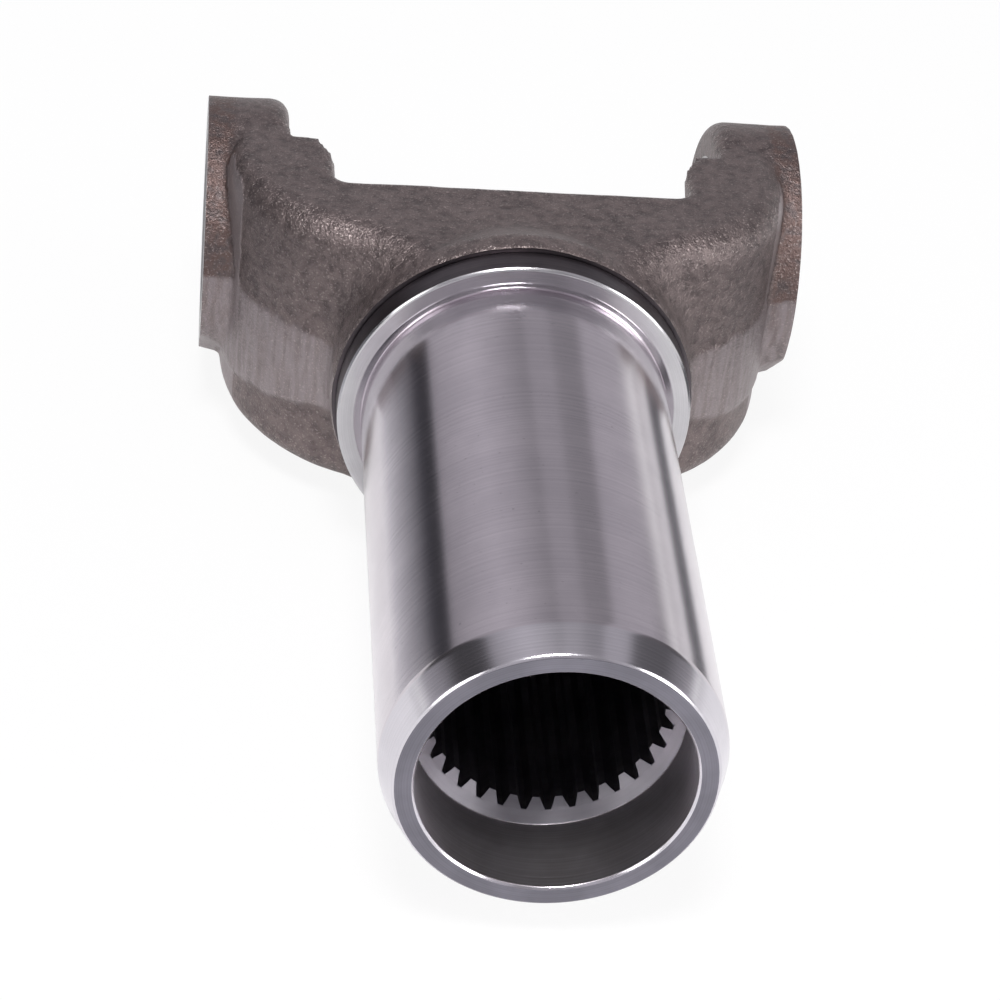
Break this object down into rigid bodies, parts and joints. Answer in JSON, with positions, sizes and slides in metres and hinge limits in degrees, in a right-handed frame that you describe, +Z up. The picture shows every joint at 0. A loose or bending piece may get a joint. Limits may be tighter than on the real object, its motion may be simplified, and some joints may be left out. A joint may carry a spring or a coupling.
{
  "type": "slip yoke",
  "caption": "Forged steel fork with a ground, internally splined barrel that carries a universal joint on a sliding shaft.",
  "frame": {"origin": "joint centre, where the axis of the cap bores meets the axis of the barrel", "axes": "+X along the cap bores, -Y along the barrel to its mouth, +Z up with the cap bores level, as the yoke sits in the shaft"},
  "size_m": [0.0976, 0.1601, 0.0572],
  "materials": {
    "forged_steel": "shot-blasted forging scale on the fork, ground and turned bright on the barrel, shoulder and ears",
    "plug_steel": "plain pressed sheet steel"
  },
  "bodies": {
    "root": {"slip_yoke": "forged_steel", "core_plug": "plug_steel"}
  },
  "joints": []
}
